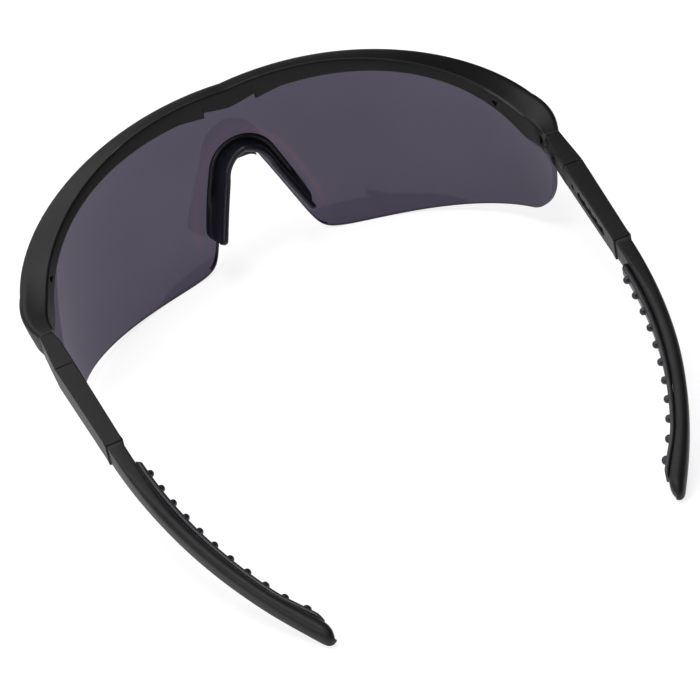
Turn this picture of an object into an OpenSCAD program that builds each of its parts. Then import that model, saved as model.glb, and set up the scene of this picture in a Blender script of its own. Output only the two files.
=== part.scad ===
// Wraparound safety glasses with a one-piece lens.
// The model is drawn in a face frame: X across (+X is the wearer's left), the front towards -Y,
// the temples' top edges at z = 0 and the hinge seams at y = 0. rest() then sets it down on a table.

/* [Lens] */
// Half the width of the lens's back surface
lens_half_w = 69.2; // [64:0.2:76]
// Depth of the lens's wrap from its ends to its middle
lens_depth = 52.2; // [46:0.2:60]
// Thickness of the lens at its middle
lens_t = 2.2; // [1.8:0.1:2.6]
// Share of its thickness that the lens loses towards its ends
lens_thinning = 0.35; // [0:0.05:0.4]
// Radius of the lens's curve from top to bottom
lens_v_radius = 78; // [70:1:110]
// Lean of the lens towards the cheeks, in degrees
lens_lean = 9.3; // [6:0.1:12]
// How far the middle of the lens's ellipse lies behind the hinge seams
lens_set_back = 4.6; // [3:0.1:6]
// Angle at which the lens ends beside the temple, in degrees
lens_end_angle = 84; // [82:0.5:86]
// Depth of the lens below its reference line, under the cheeks
lens_drop = 29.2; // [24:0.1:35]
// Rise of the lens's lower edge towards the temples
lens_rise = 4.9; // [2:0.1:8]
// Radius of the lens's lower rear corner
lens_corner_r = 8.6; // [6:0.1:10]

/* [Nose opening] */
// Radius of the opening's arch in the lens
nose_r = 4.9; // [4.4:0.1:5.5]
// Height of the arch's centre on the lens
nose_z = -4.5; // [-6:0.1:-3]
// Angle of the opening's sides from upright, in degrees
nose_flank = 22.2; // [18:0.1:27]
// Width of the nosepiece's rim on the lens, beyond the lens's edge
nose_rim = 4.9; // [4.5:0.1:5.4]
// Depth of the nosepiece behind the lens, at the bridge
bridge_depth = 7; // [6:0.1:9]
// Extra depth of the nosepiece at the ends of its pads
pad_depth = 4; // [3:0.1:6]
// Thickness of the nosepiece's rubber wall
nose_wall = 1.9; // [1.5:0.1:2.4]
// Length of each leg of the nosepiece below its arch
leg_len = 18; // [15:0.5:19]

/* [Brow bar] */
// Thickness of the lips that hold the lens
lip_t = 1.3; // [1:0.1:1.6]
// Depth of the lens groove
groove = 2.4; // [1.8:0.1:2.8]
// Clearance between the lens and its groove
lens_gap = 0.12; // [0.08:0.01:0.2]
// Half the width of the notch over the nose
notch_half_w = 7.5; // [6:0.1:9]
// Height of the steps at the notch's ends
notch_h = 1.9; // [1.2:0.1:2.2]
// Depth of the brow bar from front to back, at its middle
brow_d = 5.6; // [5:0.1:6.2]
// Height of the brow bar's ridge above its lower edge, at its middle
brow_h = 5.6; // [5:0.1:6.5]

/* [Hinge] */
// Width of the frame's end at the hinge seam
end_w = 4.3; // [3.9:0.1:5]
// How far the frame's end stands out from the lens's back surface
end_out = 2.8; // [2.6:0.1:3.2]
// Radius of the hinge barrel
barrel_r = 1.8; // [1.7:0.05:1.95]
// Radius of the hinge screw's shank
screw_r = 0.7; // [0.6:0.05:0.8]
// Thickness of the upper and lower hinge lugs
lug_h = 1.75; // [1.5:0.05:1.9]
// Clearance between folding faces
fold_gap = 0.15; // [0.12:0.01:0.2]
// Running clearance round the hinge screw and the tilt pin
run_gap = 0.05; // [0.02:0.01:0.08]

/* [Temples] */
// Height of the temples at the hinge
temple_h = 6.9; // [6:0.1:7.2]
// Angle at which the temples run inwards, in degrees
toe_in = 2.35; // [0:0.05:4]
// Length of the hinge block
block_len = 12; // [11:0.5:15]
// Width of the sleeve at its front
sleeve_w = 5.3; // [4.8:0.1:5.6]
// Width of the sleeve at its rear
sleeve_w2 = 4.6; // [4.2:0.1:4.9]
// Length of the sleeve
sleeve_len = 31.6; // [30:0.5:36]
// Distance from the sleeve's front to the tilt pin
tilt_arm = 5.9; // [5.5:0.1:6.5]
// Radius of the tilt pin
pin_r = 0.8; // [0.6:0.05:0.9]
// Clearance between the sleeve and the hinge block
tilt_gap = 0.25; // [0.2:0.01:0.3]
// Pitch of the length ratchet
click = 3.6; // [3:0.1:3.7]
// Number of steps in the length ratchet
clicks = 4; // [3:1:4]

/* [Arms] */
// Length of the arm behind the sleeve
arm_len = 80; // [70:0.5:95]
// Width of the arm at its front
arm_w = 4; // [3.8:0.1:4.6]
// Width of the arm near its tip
arm_w2 = 3; // [2.8:0.1:3.6]
// Height of the arm at its front
arm_h = 6; // [5.6:0.1:6.4]
// Height of the arm near its tip
arm_h2 = 5.2; // [4.6:0.1:5.8]
// How far the tip curves inwards
arm_in = 20.9; // [14:0.1:24]
// How far the tip curves down
arm_down = 7.6; // [4:0.1:10]
// Number of nubs on each grip pad
nubs = 11; // [8:1:11]
// Radius of the nubs
nub_r = 0.95; // [0.8:0.05:1.1]
// Thickness of the grip pad
pad_t = 1.5; // [1.2:0.1:1.8]

/* [Hidden] */
$fn = 48;
frame_colour = "#2f322f";
rubber_colour = "#14151c";
steel_colour = "#8b8f92";

// The hinge pin's place in the face frame, and the seams' places along the temple.
inner_x = lens_half_w + end_out - end_w;
hinge_x = inner_x + barrel_r;
seam1_v = barrel_r;
block_v = seam1_v + fold_gap;
tilt_z = -temple_h / 2;
arc_sag = tilt_arm - sqrt(tilt_arm * tilt_arm - temple_h * temple_h / 4);
seam2_v = block_v + block_len + arc_sag;
tilt_v = seam2_v + tilt_arm - arc_sag;
seam3_v = seam2_v + sleeve_len;
end_gap = 0.2;
arm_v = seam3_v + end_gap;
travel = click * clicks;

// Middle of the sleeve and arm across the temple, and the hinge block's tongue in the sleeve.
sleeve_u = 0.95;
cavity_w = sleeve_w2 - 2.1;
cavity_h = temple_h - 2.1;
tongue_gap = 0.12;
tilt_tongue_w = cavity_w - 0.4;
tilt_tongue_h = cavity_h - 1.6;
tilt_eye_r = cavity_h / 2 - 0.35;

// ---- general shapes ----

function lerp(a, b, t) = a + (b - a) * t;
function smooth(t) = let (c = min(1, max(0, t))) c * c * (3 - 2 * c);
// The larger of two values, with the change from one to the other rounded over k.
function soft_max(a, b, k) = (a + b + sqrt((a - b) * (a - b) + k * k)) / 2;
function flip_x(p) = [-p[0], p[1], p[2]];

// A rounded rectangle of n points a corner, centred and run clockwise.
function round_rect(w, h, r, n = 4) = [
    for (q = [3:-1:0], i = [n - 1:-1:0])
        let (
            a = 90 * q + 90 * i / (n - 1),
            sx = (q == 0 || q == 3) ? 1 : -1,
            sy = q < 2 ? 1 : -1
        )
        [sx * (w / 2 - r) + r * cos(a), sy * (h / 2 - r) + r * sin(a)]
];

function middle(points) = [for (p = points) 1 / len(points)] * points;

// A closed skin over a row of outlines that have the same number of points.
module loft(rings) {
    n = len(rings[0]);
    m = len(rings);
    polyhedron(
        points = concat([for (ring = rings, p = ring) p], [middle(rings[0]), middle(rings[m - 1])]),
        faces = concat(
            [for (i = [0:n - 1]) [i, (i + 1) % n, m * n]],
            [for (k = [0:m - 2], i = [0:n - 1]) let (j = (i + 1) % n)
                [k * n + i, (k + 1) * n + i, k * n + j]],
            [for (k = [0:m - 2], i = [0:n - 1]) let (j = (i + 1) % n)
                [k * n + j, (k + 1) * n + i, (k + 1) * n + j]],
            [for (i = [0:n - 1]) [(m - 1) * n + (i + 1) % n, (m - 1) * n + i, m * n + 1]]
        )
    );
}

// The same rings on both sides of the middle, joined through the one at x = 0.
function both_sides(rings) = concat(
    [for (k = [len(rings) - 1:-1:1]) [for (p = rings[k]) flip_x(p)]],
    rings
);

// ---- the lens's surface ----

// Leans a point of the lens's own frame into the face frame.
function lean(p) = [
    p[0],
    p[1] * cos(lens_lean) - p[2] * sin(lens_lean) + lens_set_back,
    p[1] * sin(lens_lean) + p[2] * cos(lens_lean)
];

// A point r outside the lens's back surface, at angle a round it and height h up it.
function on_lens(a, r, h) = let (
        sag = h * h / (2 * lens_v_radius),
        w = lens_half_w - sag,
        d = lens_depth - sag,
        n = [sin(a) / w, -cos(a) / d] / norm([sin(a) / w, -cos(a) / d])
    )
    lean([w * sin(a) + r * n[0], -d * cos(a) + r * n[1], h]);

function lens_angle(x) = asin(x / lens_half_w);
function lens_x(a) = lens_half_w * sin(a);

// Height on the lens of a level z of the face frame.
function level_on_lens(a, z) = (z + lens_depth * cos(a) * sin(lens_lean)) / cos(lens_lean);

// Lower edge of the lens: the nose opening, the two lobes and the rear corners.
function nose_edge(x) = let (x1 = nose_r * cos(nose_flank))
    x < x1
        ? nose_z + sqrt(nose_r * nose_r - x * x)
        : nose_z + nose_r * sin(nose_flank) - (x - x1) / tan(nose_flank);
function lobe_edge(a) = -lens_drop + lens_rise * pow(max(0, a - 20) / 55, 1.5);
mm_per_degree = lens_depth * PI / 180;
function rear_corner(a) = let (
        s = max(0, lens_corner_r - (lens_end_angle - a) * mm_per_degree)
    )
    lens_corner_r - sqrt(max(0, lens_corner_r * lens_corner_r - s * s));
function lens_low(a) = soft_max(nose_edge(lens_x(a)), lobe_edge(a), 7) + rear_corner(a);

// Lower edge of the brow bar. It falls from the brow to the temple's underside.
brow_low0 = 15.2;
function brow_curve(a) = let (s = a / 90)
    brow_low0 + s * (14.9 + s * (-39.4 + s * (-4.5 - 4.7 * s)));
function bar_low(a) = soft_max(brow_curve(a), level_on_lens(a, -temple_h), 0.5);
// The lens leaves its groove before the hinge and passes under the frame's end.
function groove_open(a) = 1 - smooth((a - 64) / 10);
function lens_top(a) = bar_low(a) - 0.35 + (groove + 0.35) * groove_open(a);

// ---- parts at the front ----

lens_steps = concat(
    [for (x = [0:0.9:4.5]) lens_angle(x)],
    [for (x = [5.4:1.2:17.4]) lens_angle(x)],
    [for (a = [17:3.5:73]) a],
    [for (k = [0:7]) lens_end_angle - (lens_end_angle - 76) * pow(1 - k / 7, 1.8)]
);
strip_n = 8;
function thick(a) = lens_t * (1 - lens_thinning * pow(a / 90, 2));

// A strip across the lens at one angle: up its back and down its front.
function lens_ring(a) = let (lo = lens_low(a), hi = lens_top(a)) concat(
    [for (k = [0:strip_n]) on_lens(a, 0, lerp(lo, hi, k / strip_n))],
    [for (k = [strip_n:-1:0]) on_lens(a, thick(a), lerp(lo, hi, k / strip_n))]
);

module lens() {
    color("#56505e", 0.75)
    rest()
    loft(both_sides([for (a = lens_steps) lens_ring(a)]));
}

// The brow bar's outer top edge and inner ridge, as distance from the lens and height on it.
function edge_out_r(s) = brow_d + s * s * (7.6 - 10.2 * s * s);
function edge_out_h(s) = brow_low0 + brow_h - 0.7
    + s * (10 + s * (-47 + s * (3.6 + 13.2 * s)));
function ridge_r(s) = -0.8 * s * s - 0.5 * pow(s, 4);
function ridge_h(s) = brow_low0 + brow_h + s * (11 + s * (-41 + s * (-15 + 21 * s)));

// The lower edge over the nose rises in two steps and dips to a V at the middle.
function notched_low(a, inside) = let (x = lens_x(a))
    inside ? lerp(brow_low0, bar_low(a) + notch_h - 1.1, x / notch_half_w)
    : x < 15 ? bar_low(a) - 1.1 * (15 - x) / (15 - notch_half_w)
    : bar_low(a);

// A section across the brow bar: the groove, the back, the ridge, the top and the front.
function bar_ring(a, inside = false) = let (
        s = a / 90,
        low = notched_low(a, inside),
        open = 1 - groove_open(a),
        roof = lens_top(a) + lens_gap + open * (0.35 - lens_gap + 0.9 * (1 - open)),
        spread = 0.3 * open,
        ri = ridge_r(s),
        hi = ridge_h(s),
        ro = edge_out_r(s),
        ho = edge_out_h(s),
        front = thick(a) + lip_t
    )
    [for (p = [
        [-lens_gap, roof],
        [-lens_gap - spread, low],
        [-lip_t + 0.35, low],
        [-lip_t, low + 0.45],
        [lerp(-lip_t, ri, 0.55), lerp(low, hi, 0.6)],
        [ri - 0.05, hi - 0.55],
        [ri + 0.35, hi - 0.05],
        [lerp(ri, ro, 0.5), lerp(hi, ho, 0.5) + 0.15],
        [ro - 1.3, ho + 0.3],
        [ro - 0.15, ho - 0.1],
        [ro + 0.3, ho - 1.2],
        [lerp(ro, front, 0.3), lerp(ho, low, 0.6)],
        [front, low + 0.7],
        [front - 0.45, low],
        [thick(a) + lens_gap + spread, low],
        [thick(a) + lens_gap, roof]
    ]) on_lens(a, p[0], p[1])];

// The frame's end at the hinge, with the same points, at v along the temple.
function end_ring(v) = let (
        l = -barrel_r,
        r = end_w - barrel_r,
        b = -temple_h
    )
    [for (p = [
        [l + 0.9, b + 0.12], [l + 0.6, b + 0.06], [l + 0.35, b], [l, b + 0.35],
        [l, -temple_h / 2], [l, -0.35], [l + 0.35, 0],
        [lerp(l, r, 0.5), 0], [r - 0.9, 0], [r - 0.3, -0.15], [r, -0.7],
        [r + 0.1, -temple_h / 2], [r, b + 0.5], [r - 0.35, b],
        [r - 0.6, b + 0.06], [r - 0.9, b + 0.12]
    ]) to_face([p[0], v, p[1]])];

// A point of the left temple's frame, whose origin is on the hinge pin, in the face frame.
function to_face(p) = [
    hinge_x + p[0] * cos(toe_in) - p[1] * sin(toe_in),
    -barrel_r + p[0] * sin(toe_in) + p[1] * cos(toe_in),
    p[2]
];
// Lens angle beside a point v along the temple.
function angle_at(v) = acos((lens_set_back + barrel_r - v) / lens_depth);
end_start_v = -10;
// The bar's outer side swells a little before the hinge.
end_swell = 0.9;

bar_rings = concat(
    [for (x = [0, notch_half_w / 2, notch_half_w - 0.02]) bar_ring(lens_angle(x), true)],
    [for (x = [notch_half_w + 0.02, 11, 15]) bar_ring(lens_angle(x))],
    [for (k = [1:15]) bar_ring(lerp(lens_angle(15), angle_at(end_start_v), k / 16))],
    [for (k = [0:9]) let (
            t = k / 9,
            v = lerp(end_start_v, seam1_v, t),
            wrap = bar_ring(angle_at(v)),
            end = end_ring(v),
            swell = [end_swell * sin(180 * t), 0, 0]
        )
        [for (i = [0:len(wrap) - 1]) lerp(wrap[i], end[i], smooth(t)) + (i > 7 && i < 14 ? swell : [0, 0, 0])]]
);

// Heights of the hinge's slot in the frame's end.
slot_top = -lug_h;
slot_h = temple_h - 2 * lug_h;
tongue_r = barrel_r - 0.15;
screw_head_r = 1.25;
screw_head_h = 0.8;
screw_top = -0.8;

module front_frame() {
    color(frame_colour)
    rest()
    difference() {
        loft(both_sides(bar_rings));
        for (side = [0, 1])
            mirror([side, 0, 0])
            at_hinge()
            hinge_cut();
    }
}

// What the hinge takes out of the frame's end: the slot for the tongue, the corner outside the
// barrel and the screw's hole.
module hinge_cut() {
    free_r = tongue_r + fold_gap;
    far = 6;
    translate([0, 0, slot_top - slot_h])
    linear_extrude(slot_h) {
        circle(free_r);
        translate([-far, 0])
        square([far + free_r, far]);
        translate([-far, -free_r])
        square([far, far]);
    }
    translate([0, 0, -temple_h - 1])
    linear_extrude(temple_h + 2)
    difference() {
        translate([-far, 0])
        square([far, far]);
        circle(barrel_r);
    }
    translate([0, 0, -temple_h - 1])
    cylinder(h = temple_h + 1 + screw_top, r = screw_r);
    translate([0, 0, -temple_h - 1])
    cylinder(h = 1 + screw_head_h, r = screw_head_r + run_gap);
}

// ---- nosepiece ----

// The outline of the nose opening, pushed out by p, for u from 0 at the bridge to 1 at a pad's end.
nose_arc_len = nose_r * PI * (90 - nose_flank) / 180;
function nose_path(u, p) = let (s = u * (nose_arc_len + leg_len))
    s < nose_arc_len
        ? let (a = 90 - s / nose_r * 180 / PI)
            [(nose_r + p) * cos(a), nose_z + (nose_r + p) * sin(a)]
        : let (q = s - nose_arc_len)
            [(nose_r + p) * cos(nose_flank) + q * sin(nose_flank),
                nose_z + (nose_r + p) * sin(nose_flank) - q * cos(nose_flank)];

// A point of the nosepiece, p out from the lens's edge and b behind the lens.
function on_nose(u, p, b) = let (q = nose_path(u, p)) on_lens(lens_angle(q[0]), -b, q[1]);

seat_gap = 0.1;
function nose_ring(u) = let (
        depth = bridge_depth + pad_depth * pow(u, 1.2),
        shrink = u < 0.9 ? 1 : sqrt(max(0.06, 1 - pow((u - 0.9) / 0.1, 3))),
        rear = 1.4 + 1.5 * pow(max(0, 1 - u / 0.3), 1.5) + 2 * pow(u, 2.2),
        rim = nose_rim - 0.5 * u * u,
        section = [
            [1.6, seat_gap],
            [lerp(rear, 1.4, 0.5) - 0.1, depth * 0.5],
            [rear, depth - 0.5],
            [rear + nose_wall * 0.4, depth],
            [rear + nose_wall * 0.75, depth - 0.15],
            [rear + nose_wall, depth - 0.9],
            [lerp(rim - 1.5, rear + nose_wall, 0.5), depth * 0.5],
            [rim - 1.5, 1.7],
            [rim - 1.2, 1.15],
            [rim - 0.4, 1.1],
            [rim, 0.7],
            [rim, seat_gap]
        ],
        mid = [2.9, depth * 0.4]
    )
    [for (p = section) let (q = lerp(mid, p, shrink)) on_nose(u, q[0], max(seat_gap, q[1]))];

nose_steps = [0, 0.05, 0.1, 0.15, 0.2, 0.25, 0.3, 0.36, 0.44, 0.52, 0.6, 0.68, 0.76, 0.84, 0.9,
    0.93, 0.96, 0.98, 0.995, 1];

module nosepiece() {
    color(rubber_colour)
    rest() {
        loft(both_sides([for (u = nose_steps) nose_ring(u)]));
        nose_clip();
    }
}

// The channel at the bridge that snaps over the lens's edge.
clip_lip = 0.9;
clip_half = 52;
clip_gap = 0.2;
clip_hold = 2;
module nose_clip() {
    translate([0, lens_set_back, 0])
    rotate([lens_lean, 0, 0])
    translate([0, -lens_depth, nose_z])
    rotate([90, 0, 0]) {
        translate([0, 0, -2])
        linear_extrude(2 + lens_t + clip_gap + clip_lip)
        arch(nose_r - 1.2, nose_r - 0.15);
        translate([0, 0, lens_t + clip_gap])
        linear_extrude(clip_lip)
        arch(nose_r - 1.2, nose_r + clip_hold);
        translate([0, 0, -2])
        linear_extrude(1.6)
        arch(nose_r - 1.2, nose_r + clip_hold);
    }
}

module arch(r0, r1) {
    difference() {
        intersection() {
            circle(r1);
            polygon([[0, 0], [20 * sin(clip_half), 20 * cos(clip_half)], [0, 20],
                [-20 * sin(clip_half), 20 * cos(clip_half)]]);
        }
        circle(r0);
    }
}

// ---- temples: drawn for the wearer's left, in a frame on the hinge pin ----

// Puts a temple's drawing in its place in the face frame.
module at_hinge() {
    translate([hinge_x, -barrel_r, 0])
    rotate([0, 0, toe_in])
    children();
}

module temple(side) {
    rest()
    mirror([side, 0, 0])
    at_hinge()
    children();
}

// Rounded box from v0 to v1, with its top at z = 0 and its middle at u.
module tapered_bar(u0, w0, h0, v0, u1, w1, h1, v1, r) {
    loft([
        [for (p = round_rect(w0, h0, r)) [u0 + p[0], v0, p[1] - h0 / 2]],
        [for (p = round_rect(w1, h1, r)) [u1 + p[0], v1, p[1] - h1 / 2]]
    ]);
}

module hinge_screw(side) {
    color(steel_colour)
    temple(side) {
        translate([0, 0, -temple_h + 0.05])
        difference() {
            cylinder(h = screw_head_h - 0.05, r = screw_head_r);
            translate([-0.2, -screw_head_r, -1])
            cube([0.4, 2 * screw_head_r, 1.35]);
        }
        translate([0, 0, -temple_h + screw_head_h - 0.1])
        cylinder(h = temple_h - screw_head_h + 0.1 + screw_top - 0.05, r = screw_r);
    }
}

module hinge_block(side) {
    color(frame_colour)
    temple(side)
    difference() {
        union() {
            difference() {
                block_body();
                translate([0, tilt_v, tilt_z])
                rotate([0, 90, 0])
                cylinder(h = 20, r = tilt_arm + tilt_gap, center = true);
            }
            // Tongue that carries the screw
            translate([0, 0, slot_top - slot_h + 0.1])
            linear_extrude(slot_h - 0.2) {
                circle(tongue_r);
                translate([-tongue_r + 0.35, 0])
                square([2 * tongue_r - 0.35, block_v + 1.5]);
            }
            // Tongue that carries the tilt pin
            translate([sleeve_u - tilt_tongue_w / 2, block_v + block_len - 2, tilt_z - tilt_tongue_h / 2])
            cube([tilt_tongue_w, tilt_v - block_v - block_len + 2, tilt_tongue_h]);
            translate([sleeve_u, tilt_v, tilt_z])
            rotate([0, 90, 0])
            cylinder(h = tilt_tongue_w, r = tilt_eye_r, center = true);
        }
        translate([0, 0, -temple_h - 1])
        cylinder(h = temple_h + 2, r = screw_r + run_gap);
        translate([sleeve_u, tilt_v, tilt_z])
        rotate([0, 90, 0])
        cylinder(h = 10, r = pin_r + run_gap, center = true);
        // Slot behind the hinge on the inner face
        translate([sleeve_u - sleeve_w / 2 - 1, block_v + 3.2, -temple_h + 1.6])
        cube([1.75, 3.2, temple_h - 3.2]);
    }
}

// The block widens behind the seam in a rounded shoulder.
block_in = -1.2;
module block_body() {
    out0 = end_w - barrel_r;
    out1 = sleeve_u + sleeve_w / 2;
    in1 = sleeve_u - sleeve_w / 2;
    sections = [
        [0, block_in, out0],
        [0.7, block_in - 0.02, out0 + 0.05],
        [1.6, lerp(block_in, in1, 0.35), out0 + 0.12],
        [2.6, lerp(block_in, in1, 0.75), out0 + 0.2],
        [3.8, in1 + 0.02, out0 + 0.3],
        [block_len + 1.2, in1, out1]
    ];
    loft([for (s = sections) [for (p = round_rect(s[2] - s[1], temple_h, 0.35))
        [(s[1] + s[2]) / 2 + p[0], block_v + s[0], p[1] - temple_h / 2]]]);
}

pin_inset = 0.3;
outer_wall = 0.65;
module tilt_pin(side) {
    color(steel_colour)
    temple(side)
    translate([sleeve_u, tilt_v, tilt_z])
    rotate([0, 90, 0])
    translate([0, 0, -sleeve_w / 2 + pin_inset])
    cylinder(h = sleeve_w - pin_inset - outer_wall - run_gap, r = pin_r);
}

// The ratchet slot in the sleeve's inner face, and the stud's place in it.
slot_v = seam3_v - 8;
slot_len = travel;
slot_front = slot_v - slot_len;
slot_half = 0.85;
stud_r = 0.75;

module sleeve(side) {
    h_rear = temple_h - 0.2;
    color(frame_colour)
    temple(side)
    difference() {
        union() {
            intersection() {
                tapered_bar(sleeve_u, sleeve_w, temple_h, seam2_v - 3,
                    sleeve_u, sleeve_w2, h_rear, seam3_v, 0.4);
                translate([-10, tilt_v, tilt_z])
                rotate([0, 90, 0])
                linear_extrude(20) {
                    circle(tilt_arm);
                    translate([-10, 0])
                    square([20, sleeve_len]);
                }
            }
            tapered_bar(sleeve_u, sleeve_w2 + 0.05, h_rear + 0.05, seam3_v - 2.2,
                sleeve_u, sleeve_w2 + 0.3, h_rear + 0.15, seam3_v, 0.45);
        }
        // Hollow for the hinge block's tongue and the arm's tongue
        translate([sleeve_u - cavity_w / 2, seam2_v - 4, tilt_z - cavity_h / 2])
        cube([cavity_w, sleeve_len + 6, cavity_h]);
        // Hole for the tilt pin, blind in the outer wall
        translate([sleeve_u, tilt_v, tilt_z])
        rotate([0, 90, 0])
        translate([0, 0, -sleeve_w])
        cylinder(h = 1.5 * sleeve_w - outer_wall, r = pin_r);
        // Ratchet slot with a scallop at each step
        translate([sleeve_u - sleeve_w / 2 - 1, 0, tilt_z])
        rotate([90, 0, 90])
        linear_extrude(sleeve_w / 2 + 1) {
            translate([slot_front, -slot_half])
            square([slot_len, 2 * slot_half]);
            for (k = [0:clicks])
                translate([slot_front + k * click, 0])
                circle(slot_half + 0.45);
        }
    }
}

// The arm's middle line and size, s behind its front.
// Near its tip the arm widens on its inner side.
function tip_swell(s) = 1.1 * smooth((s - arm_len + 18) / 13);
function arm_u(s) = sleeve_u - arm_in * pow(s / arm_len, 2.4) - tip_swell(s) / 2;
function arm_z(s) = -temple_h / 2 + 0.02 * s - arm_down * pow(s / arm_len, 2.6);
function arm_size(s) = [
    lerp(arm_w, arm_w2, s / arm_len) + tip_swell(s),
    lerp(arm_h, arm_h2, s / arm_len)
];
function arm_way(s) = let (
        d = [arm_u(s + 0.2) - arm_u(max(0, s - 0.2)), 0.2 + min(s, 0.2), arm_z(s + 0.2) - arm_z(max(0, s - 0.2))]
    )
    d / norm(d);

// A point of the arm, p out and q up from its middle line.
function on_arm(s, p, q) = let (
        way = arm_way(s),
        out = cross(way, [0, 0, 1]) / norm(cross(way, [0, 0, 1])),
        up = cross(out, way)
    )
    [arm_u(s), arm_v + s, arm_z(s)] + p * out + q * up;

arm_steps = concat([for (k = [0:22]) k * (arm_len - 5) / 22],
    [for (e = [4, 2.8, 1.7, 0.9, 0.3, 0]) arm_len - e]);
function tip_round(s) = let (e = max(0, s - arm_len + 4.2) / 4.2) sqrt(max(0.02, 1 - pow(e, 2.6)));
function arm_ring(s) = let (
        size = arm_size(s) * tip_round(s),
        r = lerp(0.45, 0.46 * size[0], smooth(s / 30)) * min(1, tip_round(s) + 0.001)
    )
    [for (p = round_rect(size[0], size[1], min(r, size[0] * 0.47), 5)) on_arm(s, p[0], p[1])];

// The tongue ends just ahead of its stud, clear of the tilt pin's eye.
tongue_len = arm_v - slot_front + stud_r + 0.8;
module arm(side) {
    color(frame_colour)
    temple(side) {
        loft([for (s = arm_steps) arm_ring(s)]);
        // Tongue that slides in the sleeve, with the stud that clicks in the ratchet slot
        translate([sleeve_u - cavity_w / 2 + tongue_gap, arm_v - tongue_len, tilt_z - cavity_h / 2 + tongue_gap])
        cube([cavity_w - 2 * tongue_gap, tongue_len + 1, cavity_h - 2 * tongue_gap]);
        translate([sleeve_u - cavity_w / 2 + 0.2, slot_front, tilt_z])
        rotate([0, -90, 0])
        cylinder(h = 0.75, r = stud_r);
    }
}

// The grip pad lies on the arm's inner face and carries a row of nubs.
pad_s0 = 7;
pad_s1 = arm_len - 4.5;
nub_s0 = 11.8;
nub_closing = 0.0063;
nub_pitch = (pad_s1 - 4.7 - nub_s0) / ((nubs - 1) * (1 - nub_closing * (nubs - 1)));
pad_steps = concat([for (e = [0, 0.4, 0.8]) pad_s0 + e], [for (k = [0:22]) lerp(pad_s0 + 1.2, pad_s1 - 2, k / 22)],
    [for (e = [1.3, 0.6, 0]) pad_s1 - e]);
function pad_end(s) = sqrt(min(1, max(0.12, (s - pad_s0) / 1.2)) * min(1, max(0.12, (pad_s1 - s) / 2)));
// The nubs follow the arm's curve, so along the temple they close up towards the tip.
function nub_s(k) = nub_s0 + nub_pitch * k * (1 - nub_closing * k);
function pad_ring(s) = let (
        size = arm_size(s),
        h = (size[1] * 0.56) * lerp(0.55, 1, pad_end(s)),
        t = pad_t * lerp(0.3, 1, pad_end(s)) * lerp(1.15, 0.8, s / arm_len)
    )
    [for (p = round_rect(t, h, t * 0.42, 3)) on_arm(s, -size[0] / 2 - 0.03 - t / 2 + p[0], p[1])];

module grip_pad(side) {
    color(rubber_colour)
    temple(side) {
        loft([for (s = pad_steps) pad_ring(s)]);
        for (k = [0:nubs - 1])
            let (s = nub_s(k))
            translate(on_arm(s, -arm_size(s)[0] / 2 - pad_t * lerp(1.15, 0.8, s / arm_len) - 0.1, 0.1))
            sphere(nub_r, $fn = 24);
    }
}

// ---- the whole ----

// Sets the whole down on its lobes and tips, and centres it. A first guess at the tilt finds the
// lowest point of the lens and of the left arm, and the two points give the tilt.
function fall(p, tilt) = p[1] * sin(tilt) + p[2] * cos(tilt);
function reach(p) = p[1] * cos(rest_tilt) - p[2] * sin(rest_tilt);
function lowest(points, tilt) = let (
        falls = [for (p = points) fall(p, tilt)],
        low = min(falls)
    )
    [for (i = [0:len(falls) - 1]) if (falls[i] == low) points[i]][0];
lens_points = [for (a = lens_steps, p = lens_ring(a)) p];
arm_points = [for (s = arm_steps, p = arm_ring(s)) to_face(p)];
tilt_guess = -8.6;
lens_foot = lowest(lens_points, tilt_guess);
arm_foot = lowest(arm_points, tilt_guess);
rest_tilt = -atan((arm_foot[2] - lens_foot[2]) / (arm_foot[1] - lens_foot[1]));
lift = -min([for (p = concat(lens_points, arm_points)) fall(p, rest_tilt)]);
mid_y = (min([for (p = bar_ring(0, true)) reach(p)]) + max([for (p = arm_points) reach(p)])) / 2;

module rest() {
    translate([0, -mid_y, lift])
    rotate([rest_tilt, 0, 0])
    children();
}

front_frame();
lens();
nosepiece();
hinge_screw(0);  // left_hinge_screw
hinge_block(0);  // left_hinge_block
tilt_pin(0);  // left_tilt_pin
sleeve(0);  // left_sleeve
arm(0);  // left_arm
grip_pad(0);  // left_grip_pad
hinge_screw(1);  // right_hinge_screw
hinge_block(1);  // right_hinge_block
tilt_pin(1);  // right_tilt_pin
sleeve(1);  // right_sleeve
arm(1);  // right_arm
grip_pad(1);  // right_grip_pad
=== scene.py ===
import math
import bpy
import bmesh
from mathutils import Matrix, Vector
from mathutils.bvhtree import BVHTree


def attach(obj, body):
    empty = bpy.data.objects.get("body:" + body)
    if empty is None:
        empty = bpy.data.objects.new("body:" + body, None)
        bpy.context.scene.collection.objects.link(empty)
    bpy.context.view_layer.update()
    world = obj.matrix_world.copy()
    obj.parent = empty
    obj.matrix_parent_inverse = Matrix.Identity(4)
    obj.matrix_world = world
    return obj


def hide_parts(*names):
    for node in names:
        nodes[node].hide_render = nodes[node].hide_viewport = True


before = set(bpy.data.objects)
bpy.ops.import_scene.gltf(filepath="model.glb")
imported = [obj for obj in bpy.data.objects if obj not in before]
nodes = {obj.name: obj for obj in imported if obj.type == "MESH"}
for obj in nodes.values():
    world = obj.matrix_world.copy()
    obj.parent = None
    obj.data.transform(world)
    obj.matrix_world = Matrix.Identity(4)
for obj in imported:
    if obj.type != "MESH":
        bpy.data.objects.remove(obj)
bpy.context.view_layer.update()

# Safety glasses. The lens, bar, nosepiece, arms and grip strips are drawn here in the part's own sizes. Hinge blocks,
# sleeves and arm tongues are the CAD's shapes with eased edges, and screws and pins are the CAD's own.
W = H = 700
L = max(W, H)

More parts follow.
